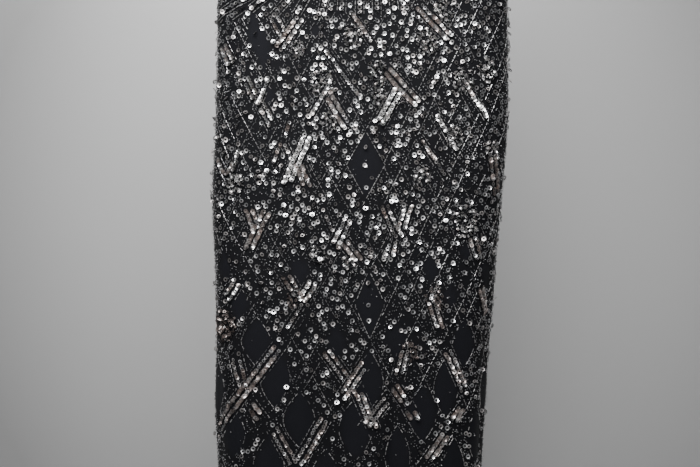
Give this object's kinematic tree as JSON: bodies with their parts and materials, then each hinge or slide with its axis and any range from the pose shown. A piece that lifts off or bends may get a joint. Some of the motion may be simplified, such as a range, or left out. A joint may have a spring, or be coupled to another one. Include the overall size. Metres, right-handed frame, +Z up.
{
  "type": "beaded evening dress",
  "caption": "Straight sleeveless beaded evening dress with scoop neck, hanging open and hollow from its shoulders.",
  "frame": {"origin": "midway between the two shoulder seams, where the wearer's shoulders hold the dress up", "axes": "+Z up, the front faces -Y, +X to the right as the front is looked at"},
  "size_m": [0.3676, 0.1561, 1.3601],
  "materials": {
    "front_cloth": "fine matt black weave, beaded",
    "back_cloth": "fine matt black weave, beaded"
  },
  "bodies": {
    "root": {"front_panel": "front_cloth", "back_panel": "back_cloth"}
  },
  "joints": []
}
